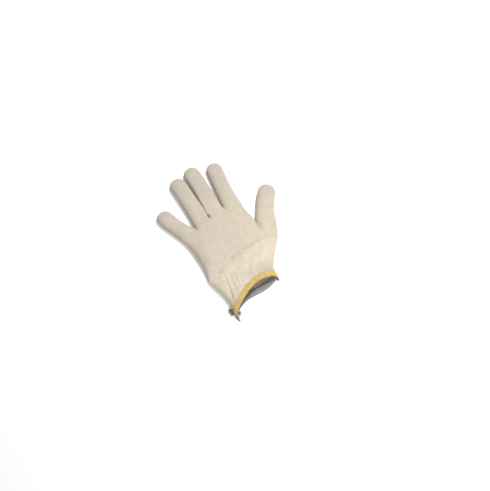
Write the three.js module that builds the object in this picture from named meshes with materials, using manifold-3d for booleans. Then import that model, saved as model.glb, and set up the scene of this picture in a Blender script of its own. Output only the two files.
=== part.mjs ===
import * as THREE from "three";
import { mergeVertices } from "three/addons/utils/BufferGeometryUtils.js";
import Module from "manifold-3d";

// A knitted cotton glove that lies on its back on a table, palm up.
// Lengths are in millimetres and angles in degrees. +Y runs to the fingertips, +X to the
// thumb side and +Z up.

// Knit and clearances
const knitWall = 2.0; // thickness of the knitted wall
const pieceGap = 0.3; // between pieces that meet end to end
const fingerGap = 0.4; // between fingers that lie side by side

// Cuff, from its mouth to the wrist crease
const mouthWidth = 84;
const mouthSlant = 18.1;
const mouthHeight = 20; // the upper edge of the mouth arches this high
const cuffLength = 60.1;
const cuffLean = 9.2;
const cuffThick = 14;
const gatherCount = 11; // folds that the elastic draws across each sheet of the cuff
const gatherDepth = 0.2;
const gatherHeld = 0.3; // share of the gathers' depth that is left at the hem
const gatherFade = 1.5; // sections below the wrist crease over which the gathers fade

// Wrist and palm
const wristWidth = 123.5;
const wristSlant = 9.6;
const palmLength = 77.6; // wrist crease to knuckle line
const palmLean = -10.1;
const palmThick = 16;
const knuckleSlant = 14.7;
const knuckleArch = 12; // rise of the middle crotches over the line between the outer edges

// Thumb place: how far its crotch lies below the knuckle line, along the index side
const thumbDrop = 42.2;
const thumbDropLean = 6;
const thumbRootSlant = -20.7;

// Hem
const hemHeight = 8;
const hemProud = 0.5; // stands out from the knit on each face
const hemEdge = 0.15; // share of the hem's height that its rounded edges take
const tailLength = 9.5;
const tailWidth = 2.4;
const tailTurn = 182; // heading of the tail where it starts, clockwise from +Y
const tailCurl = -25; // what its heading gains by the end
const tailGap = 0.75; // from the corner of the mouth to the start of the tail

// Digits, from the little-finger side. root, length and thick are shares of the hand's width,
// the finger length and the finger thickness. lean is the heading at the root, clockwise from
// +Y, and bend is what it gains by the tip. slim is the digit's width as a share of its root.
const handWidth = 139.3; // all five roots, side by side
const fingerLength = 86.5;
const fingerThick = 13.5;
const digitShares = [
  { name: "little_finger", root: 0.201, length: 0.688, thick: 0.852, lean: -31, bend: 15, slim: 0.88 },
  { name: "ring_finger", root: 0.19, length: 0.977, thick: 0.963, lean: -1, bend: -5, slim: 0.95 },
  { name: "middle_finger", root: 0.194, length: 1, thick: 1, lean: 0.5, bend: -6, slim: 0.95 },
  { name: "index_finger", root: 0.1925, length: 0.896, thick: 0.963, lean: 1, bend: 6, slim: 0.94 },
  { name: "thumb", root: 0.2225, length: 0.717, thick: 1.074, lean: 21, bend: 20, slim: 0.88 },
];
const digits = digitShares.map((row) => ({
  ...row,
  root: row.root * handWidth,
  length: row.length * fingerLength,
  thick: row.thick * fingerThick,
}));
const thumbIndex = digits.length - 1;
const fingers = digits.slice(0, thumbIndex);

// Sections of the cuff. up runs from the mouth to the wrist crease. Nips are drawn in at the
// edges, bows are drawn up in the middle and sways are drawn up on the right and down on the
// left, all as shares of the wrist width. gape is the share of the extra height at the mouth,
// and thick is a share of the cuff's thickness.
const cuffRows = [
  { up: 0, nips: [0, 0], bows: [0.09, 0.03], sways: [0.012, -0.03], gape: 1, thick: 1, power: 2.3 },
  { up: 0.25, nips: [0.024, 0.051], bows: [0.088, 0.055], sways: [0.006, -0.015], gape: 0.6, thick: 1, power: 2.8 },
  { up: 0.5, nips: [0.028, 0.045], bows: [0.086, 0.074], sways: [0, 0], gape: 0.2, thick: 1, power: 3.4 },
  { up: 0.78, nips: [0.012, 0.021], bows: [0.088, 0.086], sways: [0, 0], gape: 0, thick: 1.02, power: 4 },
  { up: 1, nips: [0, 0], bows: [0.083, 0.083], sways: [0, 0], gape: 0, thick: 0.84, power: 5 },
];

// Sections of the palm above the wrist crease. upLeft runs from the crease to the knuckles on
// the left. upRight runs to the thumb's root on the whole section, then from the thumb's
// crotch to the knuckles. Nips and bow are shares of the wrist width.
const palmRows = [
  { whole: true, upLeft: 0.21, upRight: 0.55, nips: [0.026, 0], bow: 0.073, thick: 1, power: 6 },
  { whole: false, upLeft: 0.6, upRight: 0, nips: [0.035, 0], bow: 0.081, thick: 1.04, power: 6 },
  { whole: false, upLeft: 0.84, upRight: 0.68, nips: [0.022, 0.015], bow: 0.095, thick: 0.9, power: 5 },
];
const noSway = [0, 0];

// Straight sections of a digit: share of its length up to the start of the round tip, share
// of the way from the root's width to the slim width, and share of its thickness.
const digitRows = [
  { along: 0.3, slimming: 0.75, thick: 1 },
  { along: 0.65, slimming: 1, thick: 1 },
  { along: 1, slimming: 1, thick: 1 },
];
const tipReach = 0.52; // length of the round tip, as a share of the digit's width
const tipSteps = 4;
const tipCut = 0.94; // the tip is closed at this share of its quarter turn
const tipRoundPlan = 0.8; // roundness of the tip seen from above
const tipRoundSide = 0.7; // roundness of the tip seen from the side
const digitPower = 2.4; // roundness of a digit's section
const underPower = 6; // roundness of every section's flattened underside
const underFlat = 1.05; // widens the part of the underside that lies on the table
const midShare = 0.42; // height of the side edges, as a share of the thickness

// Folds of the upper sheet. g runs across the whole glove from the little-finger edge and row
// counts the sections from the mouth. Depth is a share of the palm's thickness, and spread is
// the fold's half width as a share of the wrist width.
const folds = [
  { name: "wrist crease", g0: 0.02, row0: 3.98, g1: 0.42, row1: 3.97, depth: 0.07, spread: 0.018 },
  { name: "its thumb side", g0: 0.38, row0: 3.97, g1: 0.74, row1: 4.08, depth: 0.1, spread: 0.016 },
  { name: "crease under the wrist", g0: 0.1, row0: 3.62, g1: 0.52, row1: 3.3, depth: 0.03, spread: 0.02 },
  { name: "cuff ridge", g0: 0.22, row0: 3.4, g1: 0.7, row1: 3.62, depth: -0.08, spread: 0.06 },
  { name: "palm crease", g0: 0.1, row0: 4.75, g1: 0.42, row1: 4.5, depth: 0.03, spread: 0.03 },
  { name: "corner fold", g0: 0.2, row0: 3.1, g1: 0.12, row1: 1.2, depth: 0.06, spread: 0.022 },
  { name: "second corner fold", g0: 0.27, row0: 2.9, g1: 0.2, row1: 0.9, depth: 0.03, spread: 0.018 },
  { name: "third corner fold", g0: 0.34, row0: 2.6, g1: 0.29, row1: 1.3, depth: 0.02, spread: 0.018 },
  { name: "thumb crease", g0: 0.775, row0: 6.0, g1: 0.79, row1: 4.9, depth: 0.08, spread: 0.025 },
];

// How finely the solids are faceted
const digitColumns = 7; // columns across each digit's part of a sheet
const hollowColumns = 6;
const cuffColumns = 9;
const cuffSteps = 2; // rows between two sections of the cuff
const palmSteps = 3;
const fingerSteps = 2;
const spreadSamples = 48;

const wasm = await Module();
wasm.setup();

const radians = THREE.MathUtils.degToRad;
const lerp = THREE.MathUtils.lerp;
const clamp = THREE.MathUtils.clamp;

// A step of a length along a heading that is measured clockwise from +Y
function heading(degrees, length) {
  return new THREE.Vector2(Math.sin(radians(degrees)), Math.cos(radians(degrees))).multiplyScalar(length);
}

// A step of a length along a slope that is measured counter-clockwise from +X
function slope(degrees, length) {
  return new THREE.Vector2(Math.cos(radians(degrees)), Math.sin(radians(degrees))).multiplyScalar(length);
}

function between(a, b, share) {
  return a.clone().lerp(b, share);
}

// Main points of the plan, from the middle of the wrist crease
const wholeWidth = digits.reduce((sum, digit) => sum + digit.root, 0);
const fourWidth = fingers.reduce((sum, digit) => sum + digit.root, 0);
const wristCentre = new THREE.Vector2(0, 0);
const mouthCentre = wristCentre.clone().sub(heading(cuffLean, cuffLength));
const knuckleCentre = wristCentre.clone().add(heading(palmLean, palmLength));
const wristLeft = wristCentre.clone().sub(slope(wristSlant, wristWidth / 2));
const wristRight = wristCentre.clone().add(slope(wristSlant, wristWidth / 2));
const mouthLeft = mouthCentre.clone().sub(slope(mouthSlant, mouthWidth / 2));
const mouthRight = mouthCentre.clone().add(slope(mouthSlant, mouthWidth / 2));
const knuckleLeft = knuckleCentre.clone().sub(slope(knuckleSlant, fourWidth / 2));
const knuckleRight = knuckleCentre.clone().add(slope(knuckleSlant, fourWidth / 2));
const thumbCrotch = knuckleRight.clone().add(heading(180 - thumbDropLean, thumbDrop));
const thumbOuter = thumbCrotch.clone().add(slope(thumbRootSlant, digits[thumbIndex].root));

// Share of the row before each digit's left edge, over the whole glove and over four fingers
const edgeShares = [0];
for (const digit of digits) {
  edgeShares.push(edgeShares.at(-1) + digit.root / wholeWidth);
}
const fourShare = fourWidth / wholeWidth;

// A section: a chord in plan, nipped at its ends, with its bows and sways, and its heights.
// Bows and sways are pairs, for the upper and the under sheet.
function section(left, right, bows, sways, top, thick, power) {
  return { left, right, bows, sways, top, mid: thick * midShare, floor: 0, power };
}

function nip(left, right, nips) {
  left.x += nips[0] * wristWidth;
  right.x -= nips[1] * wristWidth;
}

function cuffSection(row) {
  const left = between(mouthLeft, wristLeft, row.up);
  const right = between(mouthRight, wristRight, row.up);
  nip(left, right, row.nips);
  const thick = row.thick * cuffThick;
  const top = thick + row.gape * (mouthHeight - cuffThick);
  return section(left, right, row.bows, row.sways, top, thick, row.power);
}

function palmSection(row) {
  const left = between(wristLeft, knuckleLeft, row.upLeft);
  const right = row.whole
    ? between(wristRight, thumbOuter, row.upRight)
    : between(thumbCrotch, knuckleRight, row.upRight);
  nip(left, right, row.nips);
  const thick = row.thick * palmThick;
  return section(left, right, [row.bow, row.bow], noSway, thick, thick, row.power);
}

function digitSection(left, right, digit) {
  return section(left, right, [0, 0], noSway, digit.thick, digit.thick, digitPower);
}

const cuffSections = cuffRows.map(cuffSection);
const palmSections = palmRows.map(palmSection);
const wristRow = cuffSections.length - 1;
const thumbRootRow = wristRow + palmRows.filter((row) => row.whole).length + 1;
const fingerRootRow = wristRow + palmRows.length + 1;

function rootRow(index) {
  return index === thumbIndex ? thumbRootRow : fingerRootRow;
}

// Point of the knuckle line between two fingers, number 0 at the little finger's outer edge
function knucklePoint(number) {
  const share = edgeShares[number] / fourShare;
  const point = between(knuckleLeft, knuckleRight, share);
  const rise = slope(knuckleSlant + 90, knuckleArch * 4 * share * (1 - share));
  return point.add(rise);
}

// Ends of a digit's root. Inside the wall, the crotches between digits lie lower.
function rootEnds(index, inset) {
  const ends = index === thumbIndex
    ? [thumbCrotch.clone(), thumbOuter.clone()]
    : [knucklePoint(index), knucklePoint(index + 1)];
  const outerEdge = [index === 0, index >= thumbIndex - 1];
  const along = ends[1].clone().sub(ends[0]).normalize();
  ends.forEach((end, side) => {
    if (outerEdge[side]) {
      end.addScaledVector(along, side === 0 ? inset : -inset);
    } else {
      end.add(heading(180, inset));
    }
  });
  return ends;
}

// All sections of one digit's strip, from the mouth to its tip
function stripSections(index, inset) {
  const digit = digits[index];
  const shared = [...cuffSections, ...palmSections].slice(0, rootRow(index));
  const rows = shared.map((row, number) => ({ ...row, whole: number < thumbRootRow, inset }));
  const [left, right] = rootEnds(index, inset);
  rows.push({ ...digitSection(left, right, digit), inset, keepEnds: true });

  const outer = rootEnds(index, 0);
  const rootCentre = between(outer[0], outer[1], 0.5);
  const rootHalf = outer[1].clone().sub(outer[0]).multiplyScalar(0.5);
  const bendPoint = rootCentre.clone().add(heading(digit.lean, digit.length / 2));
  const tipPoint = bendPoint.clone().add(heading(digit.lean + digit.bend, digit.length / 2));
  const spine = new THREE.QuadraticBezierCurve(rootCentre, bendPoint, tipPoint);
  const slimWidth = digit.root * digit.slim;
  const tipStart = 1 - (tipReach * slimWidth) / digit.length;

  function addRow(share, slimming, widthShare, riseShare) {
    const centre = spine.getPoint(share);
    const tangent = spine.getTangent(share);
    const across = new THREE.Vector2(tangent.y, -tangent.x);
    const square = across.multiplyScalar(lerp(digit.root, slimWidth, slimming) / 2);
    const half = rootHalf.clone().lerp(square, clamp(slimming / digitRows[0].slimming, 0, 1));
    const reach = Math.max(half.length() - fingerGap / 2 - inset, 0) * widthShare;
    half.setLength(reach);
    const row = digitSection(centre.clone().sub(half), centre.clone().add(half), digit);
    const fullTop = row.top - inset;
    row.top = row.mid + (fullTop - row.mid) * riseShare;
    row.floor = row.mid - (row.mid - inset) * riseShare;
    rows.push({ ...row, inset: 0, keepEnds: true });
  }

  addRow(pieceGap / digit.length, 0, 1, 1);
  for (const row of digitRows) {
    addRow(row.along * tipStart, row.slimming, 1, row.thick);
  }
  for (let step = 1; step <= tipSteps; step += 1) {
    const turn = (Math.PI / 2) * tipCut * (step / tipSteps);
    const share = tipStart + (1 - inset / digit.length - tipStart) * Math.sin(turn);
    addRow(share, 1, Math.cos(turn) ** tipRoundPlan, Math.cos(turn) ** tipRoundSide);
  }
  return rows;
}

// Where equal steps along a rounded section lie across it, from -1 to 1
function lateral(share, halfWidth, rise, power) {
  const side = Math.abs(2 * share - 1);
  const spots = [];
  const walked = [0];
  for (let k = 0; k <= spreadSamples; k += 1) {
    const x = Math.sin((Math.PI / 2) * (k / spreadSamples));
    spots.push(new THREE.Vector2(x * halfWidth, rise * Math.sqrt(Math.max(0, 1 - x ** power))));
    if (k > 0) {
      walked.push(walked[k - 1] + spots[k].distanceTo(spots[k - 1]));
    }
  }
  const goal = side * walked[spreadSamples];
  const next = Math.max(1, walked.findIndex((length) => length >= goal - 1e-9));
  const step = (goal - walked[next - 1]) / (walked[next] - walked[next - 1]);
  const x = lerp(spots[next - 1].x, spots[next].x, step) / halfWidth;
  return share < 0.5 ? -x : x;
}

// A point of a section, for a share across it, on the upper or the under sheet
function sectionPoint(row, share, over) {
  const chord = row.right.clone().sub(row.left);
  const along = chord.clone().normalize();
  const ends = row.keepEnds ? 0 : row.inset;
  const left = row.left.clone().addScaledVector(along, ends);
  const right = row.right.clone().addScaledVector(along, -ends);
  const top = row.top - row.inset;
  const floor = row.floor + row.inset;
  const rise = over ? top - row.mid : row.mid - floor;
  const power = over ? row.power : underPower;
  const x = lateral(share, left.distanceTo(right) / 2, rise, power);
  const crown = Math.sqrt(Math.max(0, 1 - Math.abs(x) ** power));
  const sheet = over ? 0 : 1;
  const drawn = row.bows[sheet] * (1 - x * x) + row.sways[sheet] * Math.sin(Math.PI * x);
  const up = new THREE.Vector2(-along.y, along.x).multiplyScalar(drawn * wristWidth);
  const plan = between(left, right, (x + 1) / 2).add(up);
  const height = over ? row.mid + rise * crown : row.mid - rise * Math.min(1, crown * underFlat);
  return new THREE.Vector3(plan.x, plan.y, height);
}

// Depth of the folds and gathers of the upper sheet at a place on it
function foldDepth(g, row) {
  let depth = 0;
  for (const fold of folds) {
    const from = new THREE.Vector2(fold.g0 * wristWidth, (fold.row0 * cuffLength) / wristRow);
    const to = new THREE.Vector2(fold.g1 * wristWidth, (fold.row1 * cuffLength) / wristRow);
    const place = new THREE.Vector2(g * wristWidth, (row * cuffLength) / wristRow);
    const run = to.clone().sub(from);
    const share = clamp(place.clone().sub(from).dot(run) / run.lengthSq(), 0, 1);
    const off = place.distanceTo(from.addScaledVector(run, share)) / (fold.spread * wristWidth);
    depth += fold.depth * palmThick * Math.exp(-off * off);
  }
  return depth;
}

// Height of the gathers: full in the middle of the cuff, held down by the hem and gone at the wrist
function gatherRise(g, row) {
  const fade = clamp((wristRow - row) / gatherFade, 0, 1) * clamp(gatherHeld + row, 0, 1);
  return gatherDepth * fade * Math.cos(2 * Math.PI * gatherCount * g);
}

// Points of one digit's strip on both sheets: columns across, and a row for each row number
function stripGrid(index, columns, rowNumbers, inset, gathered) {
  const rows = stripSections(index, inset);
  const grid = { over: [], under: [] };
  for (let column = 0; column <= columns; column += 1) {
    const share = column / columns;
    const g = lerp(edgeShares[index], edgeShares[index + 1], share);
    for (const sheet of ["over", "under"]) {
      const points = rows.map((row, number) => {
        const across = number >= rootRow(index) ? share : row.whole ? g : g / fourShare;
        return sectionPoint(row, across, sheet === "over");
      });
      const wale = new THREE.CatmullRomCurve3(points, false, "centripetal");
      grid[sheet].push(rowNumbers.map((row) => {
        const point = wale.getPoint(clamp(row / (points.length - 1), 0, 1));
        const lift = clamp(point.z / cuffThick, 0, 1);
        if (sheet === "over") {
          point.z -= foldDepth(g, row) * lift;
        }
        if (gathered && sheet === "over") {
          point.z += gatherRise(g, row) * lift;
        }
        point.z = Math.max(point.z, inset, 0);
        return point;
      }));
    }
  }
  return grid;
}

function average(points) {
  const middle = new THREE.Vector3();
  points.forEach((point) => middle.add(point));
  middle.divideScalar(points.length);
  points.forEach((point) => point.copy(middle));
}

// Joins the edges of the strips: to the next strip below their crotch, and the upper sheet to
// the under sheet above it
function joinEdges(grids, firstIndex, lists) {
  grids.forEach((grid, k) => {
    const index = firstIndex + k;
    const before = grids[k - 1];
    const columns = grid.over.length - 1;
    lists[k].forEach((row, number) => {
      const left = [grid.over[0][number], grid.under[0][number]];
      const right = [grid.over[columns][number], grid.under[columns][number]];
      const crotch = rootRow(Math.max(index, 1));
      if (before && row <= crotch) {
        const last = before.over.length - 1;
        const beside = [before.over[last][number], before.under[last][number]];
        if (row < crotch) {
          average([left[0], beside[0]]);
          average([left[1], beside[1]]);
        } else {
          average([...left, ...beside]);
        }
      } else {
        average(left);
      }
      const nextCrotch = index === thumbIndex ? 0 : rootRow(index + 1);
      if (!grids[k + 1] || row > nextCrotch) {
        average(right);
      }
    });
  });
}

// One closed solid of strips between row numbers. Each list of row numbers is one strip's.
function skinSolid(firstIndex, lists, columns, insetOf, gathered, pushOut) {
  const grids = lists.map((rows, k) => stripGrid(firstIndex + k, columns, rows, insetOf, gathered));
  joinEdges(grids, firstIndex, lists);
  if (pushOut) {
    pushOut(grids);
  }
  const corners = [];
  const quad = (a, b, c, d) => {
    corners.push(a, b, c, a, c, d);
  };
  for (const { over, under } of grids) {
    for (let i = 0; i < columns; i += 1) {
      const end = over[i].length - 1;
      for (let j = 0; j < end; j += 1) {
        quad(over[i][j], over[i + 1][j], over[i + 1][j + 1], over[i][j + 1]);
        quad(under[i + 1][j], under[i][j], under[i][j + 1], under[i + 1][j + 1]);
      }
      quad(under[i][0], under[i + 1][0], over[i + 1][0], over[i][0]);
      quad(under[i + 1][end], under[i][end], over[i][end], over[i + 1][end]);
    }
  }
  return solidOf(new THREE.BufferGeometry().setFromPoints(corners));
}

// A closed mesh as a solid that can be joined and cut
function solidOf(geometry) {
  geometry.deleteAttribute("normal");
  geometry.deleteAttribute("uv");
  const merged = mergeVertices(geometry, 1e-4);
  const triangles = [];
  const index = merged.index.array;
  for (let k = 0; k < index.length; k += 3) {
    const [a, b, c] = index.slice(k, k + 3);
    if (a !== b && b !== c && c !== a) {
      triangles.push(a, b, c);
    }
  }
  return new wasm.Manifold(new wasm.Mesh({
    numProp: 3,
    vertProperties: new Float32Array(merged.attributes.position.array),
    triVerts: new Uint32Array(triangles),
  }));
}

function geometryOf(solid) {
  const mesh = solid.getMesh();
  const geometry = new THREE.BufferGeometry();
  geometry.setAttribute("position", new THREE.BufferAttribute(mesh.vertProperties, 3));
  geometry.setIndex(new THREE.BufferAttribute(mesh.triVerts, 1));
  geometry.computeVertexNormals();
  return geometry;
}

// Row numbers from one to another, with a number of steps in each row's interval
function rowsBetween(start, end, steps) {
  const rows = [start];
  for (let k = Math.floor(start * steps + 1e-6) + 1; k / steps < end - 1e-6; k += 1) {
    rows.push(k / steps);
  }
  rows.push(end);
  return rows;
}

// Row numbers that leave a gap at the wrist crease, and above the hem
const cuffEdge = mouthLeft.distanceTo(wristLeft);
const cuffTopStep = wristLeft.distanceTo(cuffSections[wristRow - 1].left);
const cuffMouthStep = cuffEdge * cuffRows[1].up;
const cuffTop = wristRow - pieceGap / cuffTopStep;
const hemTop = hemHeight / cuffMouthStep;
const cuffBottom = hemTop + (1.5 * pieceGap) / cuffMouthStep;
const lastRow = (index) => rootRow(index) + digitRows.length + tipSteps + 1;

// Inside of the whole glove, run out past the mouth
function hollow(inset, columns) {
  const lists = digits.map((digit, index) => [
    0,
    ...rowsBetween(0, wristRow, 1),
    ...rowsBetween(wristRow, rootRow(index), palmSteps).slice(1),
    ...rowsBetween(rootRow(index), lastRow(index), 1).slice(1),
  ]);
  const runOut = (grids) => {
    for (const { over, under } of grids) {
      for (const column of [...over, ...under]) {
        const away = column[1].clone().sub(column[2]).setLength(hemHeight);
        column[0].add(away);
      }
    }
  };
  return skinSolid(0, lists, columns, inset, false, runOut);
}

const knitColour = 0xe1d2be;
const hemColour = 0xe7b54a;
const pieces = [];

function addPiece(name, solid, colour) {
  pieces.push({ name, solid, colour });
}

const inside = hollow(knitWall, hollowColumns);

const palmLists = digits.map((digit, index) => rowsBetween(wristRow, rootRow(index), palmSteps));
addPiece("palm", skinSolid(0, palmLists, digitColumns, 0, false).subtract(inside), knitColour);

digits.forEach((digit, index) => {
  const straight = rowsBetween(rootRow(index) + 1, rootRow(index) + 1 + digitRows.length, fingerSteps);
  const tip = rowsBetween(straight.at(-1), lastRow(index), 1).slice(1);
  const outside = skinSolid(index, [[...straight, ...tip]], digitColumns, 0, false);
  addPiece(digit.name, outside.subtract(inside), knitColour);
});

const cuffLists = digits.map(() => rowsBetween(cuffBottom, cuffTop, cuffSteps));
addPiece("cuff", skinSolid(0, cuffLists, cuffColumns, 0, true).subtract(inside), knitColour);

// Hem: a band that stands proud of the knit on both faces
const hemLists = digits.map(() => [0, hemTop * hemEdge, hemTop * (1 - hemEdge), hemTop]);
const hemOutside = skinSolid(0, hemLists, cuffColumns, -hemProud, true);
addPiece("hem", hemOutside.subtract(hollow(knitWall + hemProud, hollowColumns)), hemColour);

// Tail: a short chain of thread that hangs from the hem's left corner to the table
function tailSolid() {
  const outline = new THREE.Shape();
  outline.absarc(0, 0, tailWidth / 2, 0, 2 * Math.PI);
  const start = mouthLeft.clone().add(heading(tailTurn, tailGap));
  const bend = start.clone().add(heading(tailTurn, tailLength / 2));
  const end = bend.clone().add(heading(tailTurn + tailCurl, tailLength / 2));
  const route = new THREE.QuadraticBezierCurve3(
    new THREE.Vector3(start.x, start.y, cuffSections[0].mid),
    new THREE.Vector3(bend.x, bend.y, tailWidth),
    new THREE.Vector3(end.x, end.y, tailWidth / 2),
  );
  const geometry = new THREE.ExtrudeGeometry(outline, { steps: 6, curveSegments: 4, extrudePath: route });
  return solidOf(geometry);
}
addPiece("hem_tail", tailSolid(), hemColour);

// The glove stands on its underside, with the origin under the middle of its box
const glove = new THREE.Group();
for (const { name, solid, colour } of pieces) {
  const material = new THREE.MeshStandardMaterial({ color: colour, roughness: 0.95, metalness: 0 });
  const mesh = new THREE.Mesh(geometryOf(solid), material);
  mesh.name = name;
  glove.add(mesh);
}
const bounds = new THREE.Box3().setFromObject(glove);
const centre = bounds.getCenter(new THREE.Vector3());
glove.position.set(-centre.x, -centre.y, -bounds.min.z);

export default glove;
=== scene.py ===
import math

import bpy
import numpy as np
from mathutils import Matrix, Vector


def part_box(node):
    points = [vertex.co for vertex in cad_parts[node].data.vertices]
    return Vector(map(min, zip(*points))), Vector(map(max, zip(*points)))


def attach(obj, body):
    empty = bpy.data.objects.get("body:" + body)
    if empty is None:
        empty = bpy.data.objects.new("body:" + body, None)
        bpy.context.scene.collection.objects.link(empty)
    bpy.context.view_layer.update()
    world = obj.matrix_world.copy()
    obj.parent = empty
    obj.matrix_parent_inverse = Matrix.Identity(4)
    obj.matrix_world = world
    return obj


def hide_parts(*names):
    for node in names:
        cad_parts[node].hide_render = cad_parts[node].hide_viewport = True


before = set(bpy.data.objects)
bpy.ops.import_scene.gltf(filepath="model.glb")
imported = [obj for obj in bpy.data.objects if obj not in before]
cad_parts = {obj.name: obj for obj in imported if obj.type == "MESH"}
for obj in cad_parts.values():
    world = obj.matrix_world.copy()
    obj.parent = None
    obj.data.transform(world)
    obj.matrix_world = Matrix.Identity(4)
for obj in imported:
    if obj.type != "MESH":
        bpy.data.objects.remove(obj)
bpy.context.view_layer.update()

# A knitted cotton work glove that lies palm up on a pale table.
# Lengths in the dictionaries are in millimetres, angles in degrees and wales and courses in stitches.
mm = 0.001


# Camera, floor and light

cameraSetup = {
    "azimuth": -27,
    "elevation": 62,
    "distance": 1200,
    "target": (8.43, -24.92, 0),  # the point of the floor in the middle of the picture
    "lens": 60,
    "sensor": 36,
}
floorSetup = {"size": 6000, "drop": 0.15, "colour": (0.93, 0.93, 0.93), "glow": 0.08, "roughness": 0.85}
lightSetup = {
    "sky": (0.97, 0.98, 1.0),
    "skyStrength": 0.48,
    # name, place, size and power in watts; each light faces the glove
    "lamps": [
        ("KeyLight", (430, 210, 1120), 200, 11.5),
        ("FrontLight", (20, -430, 300), 200, 0.85),
    ],
}


def addObject(name, data):
    made = bpy.data.objects.new(name, data)
    bpy.context.scene.collection.objects.link(made)
    return made


def makeCamera():
    data = bpy.data.cameras.new("Camera")
    data.lens = cameraSetup["lens"]
    data.sensor_width = cameraSetup["sensor"]
    camera = addObject("Camera", data)
    turn = math.radians(cameraSetup["azimuth"])
    rise = math.radians(cameraSetup["elevation"])
    back = Vector((math.sin(turn) * math.cos(rise), -math.cos(turn) * math.cos(rise), math.sin(rise)))
    camera.location = Vector(cameraSetup["target"]) * mm + back * cameraSetup["distance"] * mm
    camera.rotation_euler = (-back).to_track_quat("-Z", "Y").to_euler()
    bpy.context.scene.camera = camera


def makeFloor():
    half = floorSetup["size"] * mm / 2
    low = -floorSetup["drop"] * mm
    mesh = bpy.data.meshes.new("Floor")
    corners = [(-half, -half, low), (half, -half, low), (half, half, low), (-half, half, low)]
    mesh.from_pydata(corners, [], [(0, 1, 2, 3)])
    floor = addObject("Floor", mesh)
    paint = bpy.data.materials.new("PaleFloor")
    paint.use_nodes = True
    shader = paint.node_tree.nodes["Principled BSDF"]
    shader.inputs["Base Color"].default_value = (*floorSetup["colour"], 1)
    shader.inputs["Roughness"].default_value = floorSetup["roughness"]
    shader.inputs["Emission Color"].default_value = (*floorSetup["colour"], 1)
    shader.inputs["Emission Strength"].default_value = floorSetup["glow"]
    mesh.materials.append(paint)


def makeLights():
    world = bpy.data.worlds.new("Sky")
    bpy.context.scene.world = world
    world.use_nodes = True
    background = world.node_tree.nodes["Background"]
    background.inputs["Color"].default_value = (*lightSetup["sky"], 1)
    background.inputs["Strength"].default_value = lightSetup["skyStrength"]
    bpy.context.scene.view_settings.view_transform = "Standard"
    for name, place, size, power in lightSetup["lamps"]:
        data = bpy.data.lights.new(name, "AREA")
        data.shape = "DISK"
        data.size = size * mm
        data.energy = power
        lamp = addObject(name, data)
        lamp.location = Vector(place) * mm
        lamp.rotation_euler = (-Vector(place)).to_track_quat("-Z", "Y").to_euler()


makeCamera()
makeFloor()
makeLights()
print("Camera, floor and lights are in place")


# Shape of the glove. +Y runs to the fingertips and +X to the thumb side.

cuffShape = {
    "mouthWidth": 84,
    "mouthSlant": 18.1,
    "mouthHeight": 20,
    "length": 60.1,
    "lean": 9.2,
    "thick": 14,
    # up, then nips, bows and sways in pairs, then gape, thick and power. Nips draw in the two
    # edges. Bows draw the middle up and sways the thumb side, on the upper and the under sheet.
    "sections": [
        (0, (0, 0), (0.09, 0.03), (0.012, -0.03), 1, 1, 2.3),
        (0.25, (0.024, 0.051), (0.088, 0.055), (0.006, -0.015), 0.6, 1, 2.8),
        (0.5, (0.028, 0.045), (0.086, 0.074), (0, 0), 0.2, 1, 3.4),
        (0.78, (0.012, 0.021), (0.088, 0.086), (0, 0), 0, 1.02, 4),
        (1, (0, 0), (0.083, 0.083), (0, 0), 0, 0.84, 5),
    ],
    "hemHeight": 8,  # the band that the overcast thread covers
    "hemRows": 9,  # rows of points in that band
    "hemCourses": 4,
    "gathers": 11,  # folds that the elastic draws across each sheet
    "gatherDepth": 0.16,
    "gatherHeld": 0.3,  # share of their depth that is left at the hem
    "gatherFade": 1.5,  # sections below the wrist over which they fade
    "gatherWander": 1.4,  # how far the folds stray from even spacing, in radians
    "wanderWaves": 2.7,
    "wanderStart": 0.7,
    "gatherLean": 0.35,  # how far the folds lean over from section to section, in radians
    "gatherSmooth": (0.3, 0.6),  # place across where they start to fade and where they are faint
    "gatherFaint": 0.25,
}
palmShape = {
    "wristWidth": 123.5,
    "wristSlant": 9.6,
    "length": 77.6,
    "lean": -10.1,
    "thick": 16,
    "knuckleSlant": 14.7,
    "knuckleArch": 12,
    "thumbDrop": 42.2,
    "thumbDropLean": 6,
    "thumbRootSlant": -20.7,
    # whole, upLeft, upRight, nips, bow, thick, power
    "sections": [
        (True, 0.21, 0.55, (0.026, 0), 0.073, 1, 6),
        (False, 0.6, 0, (0.035, 0), 0.081, 1.04, 6),
        (False, 0.84, 0.68, (0.022, 0.015), 0.095, 0.9, 5),
    ],
}
handWidth, fingerLength, fingerThick = 139.3, 86.5, 13.5
digitShape = {
    # root, length and thickness as shares of the three sizes above, lean, bend, slim and wales
    "little_finger": (0.201, 0.688, 0.852, -31, 15, 0.88, 10),
    "ring_finger": (0.19, 0.977, 0.963, -1, -5, 0.95, 10),
    "middle_finger": (0.194, 1, 1, 0.5, -6, 0.95, 10),
    "index_finger": (0.1925, 0.896, 0.963, 1, 6, 0.94, 10),
    "thumb": (0.2225, 0.717, 1.074, 21, 20, 0.88, 12),
}
tubeShape = {
    # along, slimming, thickness and how hard a neighbour presses
    "sections": [(0.3, 0.75, 1, 1), (0.65, 1, 1, 0.35), (1, 1, 1, 0)],
    # squareness that a pressing neighbour adds on the left and right sides
    "pressed": {"ring_finger": (0, 9), "middle_finger": (9, 0)},
    "pressOut": 0.09,  # how far a pressed side also swells, for each unit of that
    "tipReach": 0.52,
    "tipSteps": 4,
    "tipCut": 0.94,
    "tipRoundPlan": 0.8,
    "tipRoundSide": 0.7,
    "power": 2.4,
    "underPower": 6,
    "underFlat": 1.05,
    "midShare": 0.42,
    "fingerGap": 0.4,
    "rootStep": 0.3,
    "samples": 97,  # points on half a section, from which its length is taken
    "tipRings": 4,
}
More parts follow.
